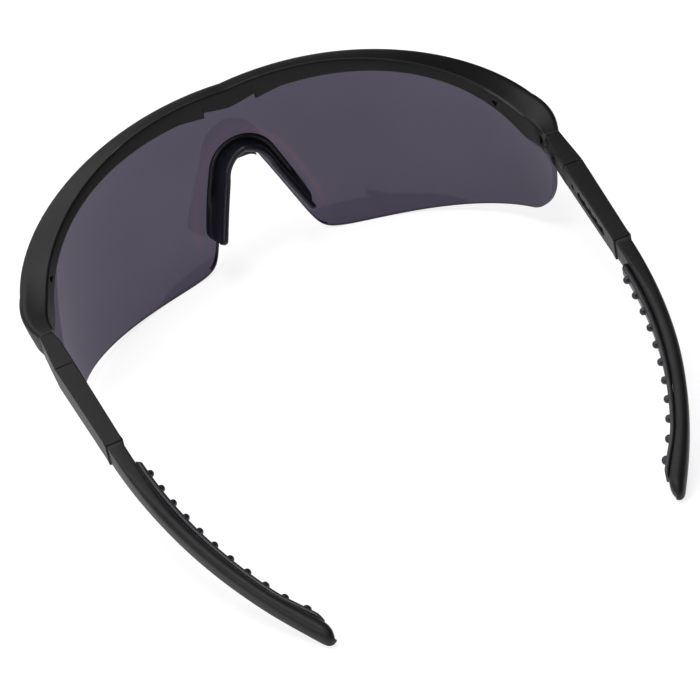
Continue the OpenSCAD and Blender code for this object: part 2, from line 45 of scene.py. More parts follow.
# ---- the camera, settled by the image points ----
AIM = Vector((0.002495, -0.005152, 0.011728))
AZIMUTH, ELEVATION, ROLL = 166.998, 34.9213, -14.4847
DISTANCE, LENS, SENSOR, CLIP_END = 1.09666, 225.958, 36.0, 20


def camera_axes():
    """The camera's right, up and towards-the-camera directions."""
    a, e, r = (math.radians(v) for v in (AZIMUTH, ELEVATION, ROLL))
    back = Vector((math.sin(a) * math.cos(e), -math.cos(a) * math.cos(e), math.sin(e)))
    right = (-back).cross(Vector((0, 0, 1))).normalized()
    up = right.cross(-back)
    return math.cos(r) * right + math.sin(r) * up, math.cos(r) * up - math.sin(r) * right, back


right, up, back = camera_axes()
camera_data = bpy.data.cameras.new("camera")
camera = bpy.data.objects.new("camera", camera_data)
bpy.context.scene.collection.objects.link(camera)
turn = Matrix((right, up, back)).transposed().to_4x4()
camera.matrix_world = Matrix.Translation(AIM + back * DISTANCE) @ turn
camera_data.lens = LENS
camera_data.sensor_width = SENSOR
camera_data.sensor_fit = "AUTO"
camera_data.clip_end = CLIP_END
bpy.context.scene.camera = camera
bpy.context.view_layer.update()

# Places in the photograph's frame: left, right and end places have one number, x or y, and features have both.
# The recess near the bar's right end, in the same frame: it is cut where this point meets the bar.
RECESS_POINT = (496.0, 103.2)


def in_view(x, y, carrier):
    """The place of a finished piece under an image point, and its normal. A miss takes the place nearest the ray."""
    d = Vector((x - W / 2 + camera_data.shift_x * L, H / 2 - y + camera_data.shift_y * L,
                -L * camera_data.lens / camera_data.sensor_width))
    way, start = (camera.matrix_world.to_3x3() @ d).normalized(), camera.matrix_world.translation
    deps = bpy.context.evaluated_depsgraph_get()
    deps.update()
    tree = BVHTree.FromObject(carrier, deps)
    place, normal, _, _ = tree.ray_cast(start, way)
    if place is None:
        near = min(carrier.data.vertices, key=lambda v: (v.co - start).cross(way).length)
        place, normal, _, _ = tree.find_nearest(near.co)
    return place, normal


# ---- the part's shape, in millimetres, in the face frame of its source ----
# There the temples' top edges are at z = 0, the hinge seams at y = 0, and the front is towards -Y.
TILT, MID_Y, LIFT = math.radians(-8.78362), 35.12, 29.8244
HALF_W, DEPTH, LENS_T, THINNING, V_RADIUS = 69.2, 52.2, 2.2, 0.35, 78.0
LEAN, SET_BACK, END_ANGLE = math.radians(9.3), 4.6, 84.0
DROP, RISE, CORNER_R = 29.2, 4.9, 8.6
NOSE_R, NOSE_Z, FLANK, NOSE_RIM = 4.9, -4.5, math.radians(22.2), 4.9
BRIDGE_DEPTH, PAD_DEPTH, NOSE_WALL, LEG_LEN = 7.0, 4.0, 1.9, 18.0
LIP_T, GROOVE, LENS_GAP, TOP_GAP = 1.3, 2.4, 0.12, 0.35
NOTCH_HALF_W, NOTCH_H, BROW_D, BROW_H, BROW_LOW = 7.5, 1.9, 5.6, 5.6, 15.2
END_W, END_OUT, BARREL_R, LUG_H, FOLD_GAP = 4.3, 2.8, 1.8, 1.75, 0.15
TONGUE_R, SCREW_HOLE_R, SCREW_TOP, SCREW_HEAD_R, SCREW_HEAD_H = BARREL_R - 0.15, 0.7, -0.8, 1.3, 0.8
TEMPLE_H, TOE_IN = 6.9, math.radians(2.35)
ARM_LEN, ARM_W, ARM_W2, ARM_H, ARM_H2, ARM_IN, ARM_DOWN = 80.0, 4.0, 3.0, 6.0, 5.2, 20.9, 7.6
NUBS, PAD_T = 11, 1.5
HINGE_X = HALF_W + END_OUT - END_W + BARREL_R
SLEEVE_U, SEAM_2, SEAM_3, SEAM_GAP, TILT_V = 0.95, 15.0638, 46.6638, 0.2, 19.85
ARM_V = SEAM_3 + SEAM_GAP
# The lower edge of a lobe rises from this angle over this many degrees, and meets the nose opening in a soft curve.
LOBE_FROM, LOBE_SPAN, LOBE_POWER, LOBE_BLEND = 20, 55, 1.5, 7
# The lens groove closes from this angle over this many degrees.
GROOVE_END, GROOVE_FADE = 64, 10
# How the bar's lower edge, and its rear and front upper edges, rise along it: terms of s, s ** 2 and so on.
LOW_TERMS, REAR_TERMS, FRONT_TERMS = (14.9, -39.4, -4.5, -4.7), (11, -41, -15, 21), (10, -47, 3.6, 13.2)


def rest(p):
    """A point of the face frame, in millimetres, set down in the shared frame, in metres."""
    x, y, z = p
    c, s = math.cos(TILT), math.sin(TILT)
    return Vector((x, y * c - z * s - MID_Y, y * s + z * c + LIFT)) * 0.001


def face_frame(p):
    """The face frame's millimetres of a point of the shared frame."""
    to_mm, c, s = 1000.0, math.cos(-TILT), math.sin(-TILT)
    y, z = p[1] * to_mm + MID_Y, p[2] * to_mm - LIFT
    return Vector((p[0] * to_mm, y * c - z * s, y * s + z * c))


def leaned(x, y, h):
    """A point drawn on the upright lens, leaned and set back into the face frame."""
    c, s = math.cos(LEAN), math.sin(LEAN)
    return Vector((x, y * c - h * s + SET_BACK, y * s + h * c))


def upright(p):
    """Distance across, height and depth on the upright lens of a point in the face frame."""
    c, s = math.cos(LEAN), math.sin(LEAN)
    y = p.y - SET_BACK
    return p.x, -y * s + p.z * c, y * c + p.z * s


def to_face(p):
    """A point of the left temple's frame, whose origin is on the hinge pin, in the face frame."""
    c, s = math.cos(TOE_IN), math.sin(TOE_IN)
    return Vector((HINGE_X + p[0] * c - p[1] * s, -BARREL_R + p[0] * s + p[1] * c, p[2]))


def across(p):
    """The same point on the other side."""
    return Vector((-p.x, p.y, p.z))


def lerp(a, b, t):
    return a + (b - a) * t


def smooth(t):
    c = min(1.0, max(0.0, t))
    return c * c * (3 - 2 * c)


def soft_max(a, b, k):
    return (a + b + math.sqrt((a - b) ** 2 + k * k)) / 2


def rise(s, terms):
    """terms[0] * s + terms[1] * s ** 2 and so on."""
    total = 0
    for term in reversed(terms):
        total = s * (term + total)
    return total


def on_lens(a, r, h):
    """A point r outside the lens's back surface, at angle a round it and height h up it."""
    t = math.radians(a)
    sag = h * h / (2 * V_RADIUS)
    w, d = HALF_W - sag, DEPTH - sag
    nx, ny = math.sin(t) / w, -math.cos(t) / d
    k = math.hypot(nx, ny)
    return leaned(w * math.sin(t) + r * nx / k, -d * math.cos(t) + r * ny / k, h)


def lens_angle(x):
    return math.degrees(math.asin(x / HALF_W))


def lens_x(a):
    return HALF_W * math.sin(math.radians(a))


def nose_edge(x):
    """Height of the nose opening's edge at x: an arch on two straight flanks."""
    x1 = NOSE_R * math.cos(FLANK)
    if x < x1:
        return NOSE_Z + math.sqrt(NOSE_R * NOSE_R - x * x)
    return NOSE_Z + NOSE_R * math.sin(FLANK) - (x - x1) / math.tan(FLANK)


def lens_low(a):
    """Height of the lens's lower edge: nose opening, lobe and rounded end corner."""
    lobe = -DROP + RISE * (max(0.0, a - LOBE_FROM) / LOBE_SPAN) ** LOBE_POWER
    s = max(0.0, CORNER_R - (END_ANGLE - a) * DEPTH * math.pi / 180)
    corner = CORNER_R - math.sqrt(max(0.0, CORNER_R * CORNER_R - s * s))
    return soft_max(nose_edge(lens_x(a)), lobe, LOBE_BLEND) + corner


def bar_low(a):
    """Height of the bar's lower edge, which runs out level at the hinge."""
    level = (-TEMPLE_H + DEPTH * math.cos(math.radians(a)) * math.sin(LEAN)) / math.cos(LEAN)
    return soft_max(BROW_LOW + rise(a / 90, LOW_TERMS), level, 0.5)


def groove_open(a):
    return 1 - smooth((a - GROOVE_END) / GROOVE_FADE)


def lens_top(a):
    return bar_low(a) - TOP_GAP + (GROOVE + TOP_GAP) * groove_open(a)


def thick(a):
    return LENS_T * (1 - THINNING * (a / 90) ** 2)


# ---- mesh making ----
def rounded(points, radii, steps=4):
    """The closed outline with its corners rounded, with a point close to each rounding to hold the flats."""
    touch, hold, ahead = 0.42, 0.47, 1.3
    out = []
    n = len(points)
    for i, (p, r) in enumerate(zip(points, radii)):
        if r <= 0:
            out.append(p)
            continue
        to_prev, to_next = points[i - 1] - p, points[(i + 1) % n] - p
        f, g = r / max(to_prev.length, 1e-6), r / max(to_next.length, 1e-6)
        a, b = p + to_prev * min(touch, f), p + to_next * min(touch, g)
        out.append(p + to_prev * min(hold, ahead * f))
        for k in range(steps + 1):
            t = k / steps
            out.append((1 - t) ** 2 * a + 2 * t * (1 - t) * p + t * t * b)
        out.append(p + to_next * min(hold, ahead * g))
    return out


def edit(me, *steps):
    """Works on a mesh with functions of its bmesh."""
    bm = bmesh.new()
    bm.from_mesh(me)
    for step in steps:
        step(bm)
    bm.to_mesh(me)
    bm.free()


def weld(bm, dist=1e-7):
    bmesh.ops.remove_doubles(bm, verts=bm.verts, dist=dist)


def face_outwards(bm):
    bmesh.ops.recalc_face_normals(bm, faces=bm.faces)


def shade(me, angle):
    """Smooth shading, apart from edges sharper than angle."""
    for p in me.polygons:
        p.use_smooth = True
    me.set_sharp_from_angle(angle=math.radians(angle))


replaced = set()


def make(name, verts, faces, mats, body, replaces, slot, angle):
    """A new piece from points in the face frame's millimetres."""
    me = bpy.data.meshes.new(name)
    me.from_pydata([rest(v) for v in verts], [], faces)
    edit(me, weld, face_outwards)
    return finish(name, me, mats, body, replaces, angle)


def finish(name, me, mats, body, replaces, angle):
    """A new piece from a mesh in the shared frame."""
    shade(me, angle)
    me.materials.clear()
    for m in mats:
        me.materials.append(m)
    o = bpy.data.objects.new(name, me)
    bpy.context.scene.collection.objects.link(o)
    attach(o, body)
    if replaces:
        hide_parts(*replaces)
        replaced.update(replaces)
    return o


def skin(rings, caps=True):
    """Points and faces over a row of closed rings of equally many points."""
    n, m = len(rings[0]), len(rings)
    verts = [p for ring in rings for p in ring]
    faces = [(k * n + i, k * n + (i + 1) % n, (k + 1) * n + (i + 1) % n, (k + 1) * n + i)
             for k in range(m - 1) for i in range(n)]
    if caps:
        faces.append(tuple(range(n)))
        faces.append(tuple((m - 1) * n + i for i in reversed(range(n))))
    return verts, faces


def both_sides(rings):
    """Rings that start in the middle, run on from their mirrored copies."""
    return [[across(p) for p in ring] for ring in rings[:0:-1]] + rings


def apply_modifiers(o):
    deps = bpy.context.evaluated_depsgraph_get()
    deps.update()
    made = bpy.data.meshes.new_from_object(o.evaluated_get(deps))
    o.modifiers.clear()
    old = o.data
    o.data = made
    bpy.data.meshes.remove(old)


def cut(o, verts, n):
    """Takes a prism of n sides out of o."""
    me = bpy.data.meshes.new("cutter")
    me.from_pydata(verts, [], [tuple(range(n))[::-1], tuple(range(n, 2 * n))]
                   + [(i, (i + 1) % n, n + (i + 1) % n, n + i) for i in range(n)])
    edit(me, face_outwards)
    cutter = bpy.data.objects.new("cutter", me)
    bpy.context.scene.collection.objects.link(cutter)
    mod = o.modifiers.new("cut", "BOOLEAN")
    mod.operation = "DIFFERENCE"
    mod.solver = "EXACT"
    mod.object = cutter
    apply_modifiers(o)
    bpy.data.objects.remove(cutter)
    bpy.data.meshes.remove(me)


def subtract(o, outline, z0, z1, flip=False):
    """Cuts an upright prism, drawn in the temple's frame, out of o."""
    verts = [to_face((x, y, z)) for z in (z0, z1) for x, y in outline]
    cut(o, [rest(across(v) if flip else v) for v in verts], len(outline))


# ---- materials ----
def material(name):
    m = bpy.data.materials.new(name)
    m.use_nodes = True
    t = m.node_tree
    t.nodes.clear()
    return m, t, t.nodes.new("ShaderNodeOutputMaterial")


def node(t, kind, sockets=None, **values):
    """A new node with its properties set, and each socket linked to another or given its value."""
    n = t.nodes.new(kind)
    for key, value in values.items():
        setattr(n, key, value)
    for key, value in (sockets or {}).items():
        if isinstance(value, bpy.types.NodeSocket):
            t.links.new(value, n.inputs[key])
        else:
            n.inputs[key].default_value = value
    return n


def noise(t, scale, detail=4.0):
    place = node(t, "ShaderNodeTexCoord").outputs["Object"]
    return node(t, "ShaderNodeTexNoise",
                {"Scale": scale, "Detail": detail, "Roughness": 0.6, "Vector": place}).outputs["Fac"]


def mottle(t, source, dark, light):
    """A colour that goes from dark to light with a noise."""
    r = node(t, "ShaderNodeValToRGB", {"Fac": source})
    for e, at, colour in zip(r.color_ramp.elements, (0.3, 0.7), (dark, light)):
        e.position = at
        e.color = (*colour, 1)
    return r.outputs["Color"]


def spread(t, source, low, high, start=0.3, end=0.7):
    """Takes the stretch of source from start to end, a noise's middle, to that from low to high."""
    return node(t, "ShaderNodeMapRange", {"From Min": start, "From Max": end, "To Min": low, "To Max": high,
                                          "Value": source}).outputs["Result"]


def calc(t, operation, a, b):
    return node(t, "ShaderNodeMath", {0: a, 1: b}, operation=operation).outputs[0]


def blend(t, factor, a, b):
    """The colour a, or b where factor is 1."""
    return node(t, "ShaderNodeMix", {"Factor": factor, 6: a, 7: (*b, 1)}, data_type="RGBA").outputs[2]


def relief(t, source, strength, depth):
    return node(t, "ShaderNodeBump", {"Strength": strength, "Distance": depth, "Height": source}).outputs["Normal"]


# An edge is painted lighter, a painted highlight, between these two values of pointiness, in patches of a noise of
# this scale.
HIGHLIGHT_FROM, HIGHLIGHT_TO, PATCHES = 0.51, 0.58, 90


def moulded(name, dark, light, edge_highlight, rough, grain, depth, specular=0.5):
    """Moulded plastic or rubber: mottled colour, a fine grain in gloss and relief, and a painted highlight on its
    edges.
    """
    m, t, out = material(name)
    wide, fine = noise(t, PATCHES, 3), noise(t, grain, 5)
    edge = spread(t, node(t, "ShaderNodeNewGeometry").outputs["Pointiness"], 0, 1, HIGHLIGHT_FROM, HIGHLIGHT_TO)
    highlight = calc(t, "MULTIPLY", edge, spread(t, wide, 0.3, 1.0))
    p = node(t, "ShaderNodeBsdfPrincipled", {
        "Base Color": blend(t, highlight, mottle(t, wide, dark, light), edge_highlight),
        "Roughness": spread(t, fine, rough - 0.05, rough + 0.06),
        "Normal": relief(t, fine, 0.5, depth), "IOR": 1.5, "Specular IOR Level": specular})
    t.links.new(p.outputs["BSDF"], out.inputs["Surface"])
    return m


def steel_material(name, dark, light):
    m, t, out = material(name)
    n = noise(t, 900)
    p = node(t, "ShaderNodeBsdfPrincipled", {
        "Base Color": mottle(t, n, dark, light), "Roughness": spread(t, n, 0.3, 0.45),
        "Normal": relief(t, n, 0.3, 0.00001), "Metallic": 1.0})
    t.links.new(p.outputs["BSDF"], out.inputs["Surface"])
    return m


# The colour that one surface lets through, also at the moulded step, where it is paler as a painted highlight, and
# how much of Fresnel's share it mirrors.
TINT_DARK, TINT_LIGHT, STEP_HIGHLIGHT_TINT = (0.250, 0.232, 0.284), (0.268, 0.249, 0.302), (0.292, 0.246, 0.294)
LENS_IOR, MIRROR_SHARE = 1.45, 0.5


def lens_material():
    """Smoke polycarbonate: each surface lets through the root of what the lens does, and its outer side mirrors."""
    m, t, out = material("tinted_lens")
    tint = mottle(t, noise(t, 22, 2), TINT_DARK, TINT_LIGHT)
    # At the moulded step the tint is paler: a painted highlight.
    step = node(t, "ShaderNodeAttribute", attribute_name="step").outputs["Fac"]
    clear = node(t, "ShaderNodeBsdfTransparent", {"Color": blend(t, step, tint, STEP_HIGHLIGHT_TINT)})
    gloss = node(t, "ShaderNodeBsdfGlossy", {"Roughness": spread(t, noise(t, 120, 3), 0.04, 0.055)})
    fresnel = node(t, "ShaderNodeFresnel", {"IOR": LENS_IOR}).outputs["Fac"]
    outer = calc(t, "SUBTRACT", 1.0, node(t, "ShaderNodeNewGeometry").outputs["Backfacing"])
    mirror = calc(t, "MULTIPLY", fresnel, calc(t, "MULTIPLY", outer, MIRROR_SHARE))
    both = node(t, "ShaderNodeMixShader", {"Fac": mirror, 1: clear.outputs["BSDF"], 2: gloss.outputs["BSDF"]})
    t.links.new(both.outputs["Shader"], out.inputs["Surface"])
    return m


# The frame's plastic, its eased edges painted lighter as a painted highlight, and what else is the same in several
# finishes: gloss, grain and relief.
DARK, LIGHT, EDGE_HIGHLIGHT = (0.0056, 0.0058, 0.0056), (0.0074, 0.0076, 0.0074), (0.07, 0.071, 0.07)
EASED_HIGHLIGHT_DARK, EASED_HIGHLIGHT = (0.060, 0.061, 0.060), (0.100, 0.102, 0.100)
FRAME_FINISH, CUT_FINISH, EASED_FINISH = (0.48, 3500, 0.00002, 0.25), (0.35, 1500, 0.00001), (0.25, 1500, 0.00001)
frame_mat = moulded("moulded_frame", DARK, LIGHT, EDGE_HIGHLIGHT, *FRAME_FINISH)
flat_mat = moulded("moulded_flat", DARK, LIGHT, LIGHT, *FRAME_FINISH)
eased_highlight_mat = moulded("painted_eased_edge_highlight", EASED_HIGHLIGHT_DARK, EASED_HIGHLIGHT, EASED_HIGHLIGHT, *FRAME_FINISH)
rubber_mat = moulded("soft_nosepiece", (0.0055, 0.0058, 0.0130), (0.0082, 0.0086, 0.0190), (0.012, 0.012, 0.024),
                     0.46, 2500, 0.00002, 0.4)
grip_mat = moulded("grip_rubber", (0.010, 0.009, 0.0135), (0.014, 0.0125, 0.018), (0.03, 0.03, 0.032),
                   0.42, 2500, 0.00002)
screw_mat = steel_material("turned_steel", (0.36, 0.36, 0.37), (0.5, 0.5, 0.51))
pin_mat = steel_material("blackened_steel", (0.03, 0.03, 0.031), (0.05, 0.05, 0.052))
lens_mat = lens_material()
edge_mat = moulded("lens_cut_edge", (0.105, 0.096, 0.118), (0.125, 0.115, 0.14), (0.14, 0.13, 0.16), *CUT_FINISH)
# The lower edge's easing, painted dark: painted shade.
lens_edge_shade_mat = moulded("lens_edge_painted_shade", (0.012, 0.010, 0.018), (0.018, 0.015, 0.026), (0.02, 0.018, 0.03),
                   *EASED_FINISH)
for name, item in nodes.items():
    item.data.materials.clear()
    item.data.materials.append(pin_mat if "pin" in name else screw_mat if "screw" in name else frame_mat)


# ---- the lens ----
# Rows from edge to edge, the width of the easing at the edges, and that of the row beside it.
ROWS, EDGE, LINE = 26, 0.28, 0.3
CHAMFER = EDGE * 0.3
# Rings: fine steps in millimetres over the nose, then wide ones in degrees, then ever finer ones to the end.
FINE_STEP, FINE_STEPS, WIDE_STEP, WIDE_UNTIL, END_STEPS, END_POWER = 0.35, 52, 0.8, 74, 26, 2.2
# The moulded step round the nosepiece, where the lens gets a painted highlight, as x and height on the lens, and how
# far it fades to each side.
BAND = [(0, 7.2), (3.9, 6.0), (7.1, 3.2), (10.5, -0.9), (13.7, -6.7), (16.3, -13.8), (17.9, -21.0)]
BAND_REACH, BAND_CORE, BAND_FADE = 24, 1.4, 0.75
# How far to each side the nose opening's cut edge runs, and what its faces leave of the lens's thickness.
CUT_REACH, CUT_INSET, EASED_INSET = 17, 0.25, 0.1
LENS_SHARP = 50


def lens_steps():
    steps = [lens_angle(FINE_STEP * k) for k in range(FINE_STEPS)]
    while steps[-1] < WIDE_UNTIL:
        steps.append(steps[-1] + WIDE_STEP)
    left = END_ANGLE - steps[-1]
    return steps + [END_ANGLE - left * (1 - k / END_STEPS) ** END_POWER for k in range(1, END_STEPS + 1)]


def lens_ring(a):
    """A strip up the lens's back and down its front, with its long edges eased."""
    lo, hi, t = lens_low(a), lens_top(a), thick(a)
    rows = [lo + EDGE] + [lerp(lo + EDGE + LINE, hi - EDGE, k / (ROWS - 1)) for k in range(ROWS)]
    up_to = [(CHAMFER, hi - CHAMFER), (EDGE, hi), (t - EDGE, hi), (t - CHAMFER, hi - CHAMFER)]
    down_to = [(t - CHAMFER, lo + CHAMFER), (t - EDGE, lo), (EDGE, lo), (CHAMFER, lo + CHAMFER)]
    ring = [(0, h) for h in rows] + up_to + [(t, h) for h in reversed(rows)] + down_to
    return [on_lens(a, r, h) for r, h in ring]


def band_distance(x, h):
    p, best = Vector((abs(x), h)), 99.0
    for q, r in zip(BAND, BAND[1:]):
        q, r = Vector(q), Vector(r)
        t = min(1.0, max(0.0, (p - q).dot(r - q) / (r - q).length_squared))
        best = min(best, (p - q.lerp(r, t)).length)
    return best


def build_lens():
    """The lens's skin. Its two ends are closed row by row, from the back to the front."""
    rings = both_sides([lens_ring(a) for a in lens_steps()])
    verts, faces = skin(rings, caps=False)
    n, m = len(rings[0]), len(rings)
    half = n // 2 - 2
    for base in (0, (m - 1) * n):
        for k in range(ROWS):
            faces.append((base + k, base + k + 1, base + half + 1 + ROWS - k, base + half + 2 + ROWS - k))
        faces.append(tuple(base + i for i in range(ROWS, ROWS + 6)))
        faces.append(tuple(base + i % n for i in range(n - 5, n + 1)))
    return verts, faces


lens = make("tinted_shield", *build_lens(), [lens_mat, edge_mat, lens_edge_shade_mat], "front", ["lens"], "lens", LENS_SHARP)
# Each vertex's share of the step's painted highlight.
step = lens.data.attributes.new("step", "FLOAT", "POINT")
for v, item in zip(lens.data.vertices, step.data):
    x, h, _ = upright(face_frame(v.co))
    if abs(x) < BAND_REACH:
        item.value = smooth(BAND_CORE - band_distance(x, h) / BAND_FADE)

# The lower edge's easing is painted as a fine dark line, painted shade at the rounded edge, and the cut edge at the
# nose as a paler strip.
for f in lens.data.polygons:
    x, h, y = upright(face_frame(f.center))
    sag = h * h / (2 * V_RADIUS)
    w, d = HALF_W - sag, DEPTH - sag
    a = min(END_ANGLE, math.degrees(math.atan2(abs(x) / w, -y / d)))
    if h < lens_low(a) + EDGE + LINE * 0.7:
        inner = (Vector((x / w, y / d)).length - 1) * d
        if abs(x) < CUT_REACH and CUT_INSET < inner < thick(a) - CUT_INSET:
            f.material_index = 1
        elif inner < EASED_INSET:
            f.material_index = 2

# ---- the brow bar ----
BAR_RADII = [0, 0.1, 0.25, 0.3, 1.2, 0.35, 0.35, 1.6, 0.8, 0.7, 0.7, 2.0, 0.3, 0.3, 0.1, 0]
END_RADII = [0, 0, 0.1, 0.3, 1.2, 0.3, 0.3, 1.0, 0.5, 0.35, 0.5, 1.6, 0.3, 0.25, 0, 0]
# The notch's ends step down by STEP_DOWN, which runs out at RUN_OUT from the middle. The bar turns into the hinge's
# square end from TURN_V on, and swells between the corners SWELL_CORNERS as it does.
STEP_DOWN, RUN_OUT, TURN_V, TURN_SWELL, SWELL_CORNERS = 1.1, 15, -10, 0.9, range(8, 14)
NOTCH_RINGS = (0, 1.5, 3.2, 4.8, 6.2, 7.1, 7.48)
STEP_RINGS = (7.52, 7.8, 8.6, 9.8, 11.2, 12.6, 14, RUN_OUT)
WRAP_RINGS, TURN_RINGS, BAR_SHARP = 60, 30, 38


def bar_section(a, in_notch=False):
    """The bar's section from the groove's back wall, over the bar, to its front wall."""
    s = a / 90
    plain = low = bar_low(a)
    x = lens_x(a)
    if in_notch:
        low = lerp(BROW_LOW, low + NOTCH_H - STEP_DOWN, x / NOTCH_HALF_W)
    elif x < RUN_OUT:
        low -= STEP_DOWN * (RUN_OUT - x) / (RUN_OUT - NOTCH_HALF_W)
    opened = 1 - groove_open(a)
    t = thick(a)
    roof = lens_top(a) + LENS_GAP + opened * (TOP_GAP - LENS_GAP + 0.9 * (1 - opened))
    flare = 0.3 * opened
    rear, rear_top = -0.8 * s * s - 0.5 * s ** 4, BROW_LOW + BROW_H + rise(s, REAR_TERMS)
    ridge, front_top = BROW_D + s * s * (7.6 - 10.2 * s * s), BROW_LOW + BROW_H - 0.7 + rise(s, FRONT_TERMS)
    front = t + LIP_T
    flat = [(-LENS_GAP, roof), (-LENS_GAP - flare, low), (-LIP_T + 0.35, low), (-LIP_T, low + 0.45),
            (lerp(-LIP_T, rear, 0.55), lerp(plain, rear_top, 0.6)), (rear - 0.05, rear_top - 0.55),
            (rear + 0.35, rear_top - 0.05), (lerp(rear, ridge, 0.5), lerp(rear_top, front_top, 0.5) + 0.15),
            (ridge - 1.3, front_top + 0.3), (ridge - 0.15, front_top - 0.1), (ridge + 0.3, front_top - 1.2),
            (lerp(ridge, front, 0.3), lerp(front_top, plain, 0.6)), (front, low + 0.7),
            (front - 0.45, low), (t + LENS_GAP + flare, low), (t + LENS_GAP, roof)]
    return [on_lens(a, p, q) for p, q in flat]


def end_section(v):
    """The hinge end's section, with a corner for each of the bar's. Its top is level with the temple's."""
    left, right, low = -BARREL_R, END_W - BARREL_R, -TEMPLE_H
    flat = [(left + 0.9, low + 0.12), (left + 0.6, low + 0.06), (left + 0.35, low), (left, low + 0.35),
            (left, low / 2), (left, -0.35), (left + 0.35, 0), (lerp(left, right, 0.5), 0), (right - 0.9, 0),
            (right - 0.3, -0.15), (right, -0.7), (right + 0.1, low / 2), (right, low + 0.5), (right - 0.35, low),
            (right - 0.6, low + 0.06), (right - 0.9, low + 0.12)]
    return [to_face((u, v, z)) for u, z in flat]


def angle_at(v):
    """Angle round the lens at which the bar is v along the temple."""
    return math.degrees(math.acos((SET_BACK + BARREL_R - v) / DEPTH))


def turn_ring(t):
    """A ring between the bar's wrap, at 0, and the hinge's end, at 1."""
    v, w = lerp(TURN_V, BARREL_R, t), smooth(t)
    swell = Vector((TURN_SWELL * math.sin(math.pi * t), 0, 0))
    ring = [lerp(p, q, w) + (swell if i in SWELL_CORNERS else Vector())
            for i, (p, q) in enumerate(zip(bar_section(angle_at(v)), end_section(v)))]
    return rounded(ring, [max(0.02 if r + q > 0 else 0, lerp(r, q, w)) for r, q in zip(BAR_RADII, END_RADII)])


def build_bar():
    rings = [rounded(bar_section(lens_angle(x), x < NOTCH_HALF_W), BAR_RADII) for x in NOTCH_RINGS + STEP_RINGS]
    a0, a1 = lens_angle(RUN_OUT), angle_at(TURN_V)
    rings += [rounded(bar_section(lerp(a0, a1, k / WRAP_RINGS)), BAR_RADII) for k in range(1, WRAP_RINGS)]
    return skin(both_sides(rings + [turn_ring(k / TURN_RINGS) for k in range(TURN_RINGS + 1)]))


def arc(r, a0, a1, n=12):
    return [(r * math.cos(math.radians(lerp(a0, a1, k / n))), r * math.sin(math.radians(lerp(a0, a1, k / n))))
            for k in range(n + 1)]


def circle(r, n=24):
    return arc(r, 0, 360 - 360 / n, n - 1)


# The recess near each end of the bar: its three corners along and across it, its depth, and how far it opens, in m.
RECESS, RECESS_DEPTH, RECESS_OPEN = ((0.0014, 0.0005), (-0.0012, 0.0008), (-0.0006, -0.0010)), 0.0006, 0.001


def pocket(o, place, way, side):
    """Cuts a small three-cornered recess into o at a place on its surface."""
    along = Vector((side, 0, 0)).cross(way).cross(way).normalized() * side
    sideways = way.cross(along).normalized()
    corners = [along * p + sideways * q for p, q in RECESS]
    cut(o, [place + way * d + q for d in (-RECESS_DEPTH, RECESS_OPEN) for q in corners], len(corners))


# The fork holds the hinge block's round tongue. PAST and BEYOND take the cuts out through the bar's surface.
PAST, BEYOND = 1, 6
bar = make("brow_bar", *build_bar(), [frame_mat], "front", ["front_frame"], "frame", BAR_SHARP)
free = TONGUE_R + FOLD_GAP
fork = [(free, BEYOND), (-BEYOND, BEYOND), (-BEYOND, -free), (0, -free)] + arc(free, -90, 0)[1:]
corner = [(0, BEYOND), (-BEYOND, BEYOND), (-BEYOND, 0)] + arc(BARREL_R, 180, 90)
for flip in (False, True):
    subtract(bar, fork, -TEMPLE_H + LUG_H, -LUG_H, flip)
    subtract(bar, corner, -TEMPLE_H - PAST, PAST, flip)
    subtract(bar, circle(SCREW_HOLE_R), -TEMPLE_H - PAST, SCREW_TOP, flip)
    subtract(bar, circle(SCREW_HEAD_R), -TEMPLE_H - PAST, -TEMPLE_H + SCREW_HEAD_H, flip)
place, way = in_view(*RECESS_POINT, bar)
pocket(bar, place, way, 1)
pocket(bar, across(place), across(way), -1)
bar.data.set_sharp_from_angle(angle=math.radians(BAR_SHARP))

# ---- the nosepiece ----
ARC_LEN = NOSE_R * math.pi * (90 - math.degrees(FLANK)) / 180
NOSE_RADII = [0.15, 2, 0.6, 0.5, 0.5, 0.6, 0, 0, 0, 0, 0.12, 0.12, 0.25, 0.2, 0.25, 0.1]
# Shares of the leg: rings up to where the end rounds off, and rings round it. Each rib has its place and relief.
LEG_RINGS, END_FROM, END_SPAN, END_RINGS = 64, 0.9, 0.1, 16
RIBS = ((0.3, 0.05), (0.42, -0.08), (0.54, 0.09), (0.68, -0.06))
NOSE_SHARP = 50


def on_nose(u, p, b):
    """A point at share u along the nose opening's edge, p out from it, and b behind the lens."""
    s = u * (ARC_LEN + LEG_LEN)
    if s < ARC_LEN:
        a = math.pi / 2 - s / NOSE_R
        x, h = (NOSE_R + p) * math.cos(a), NOSE_Z + (NOSE_R + p) * math.sin(a)
    else:
        q = s - ARC_LEN
        x = (NOSE_R + p) * math.cos(FLANK) + q * math.sin(FLANK)
        h = NOSE_Z + (NOSE_R + p) * math.sin(FLANK) - q * math.cos(FLANK)
    return on_lens(lens_angle(x), -b, h)


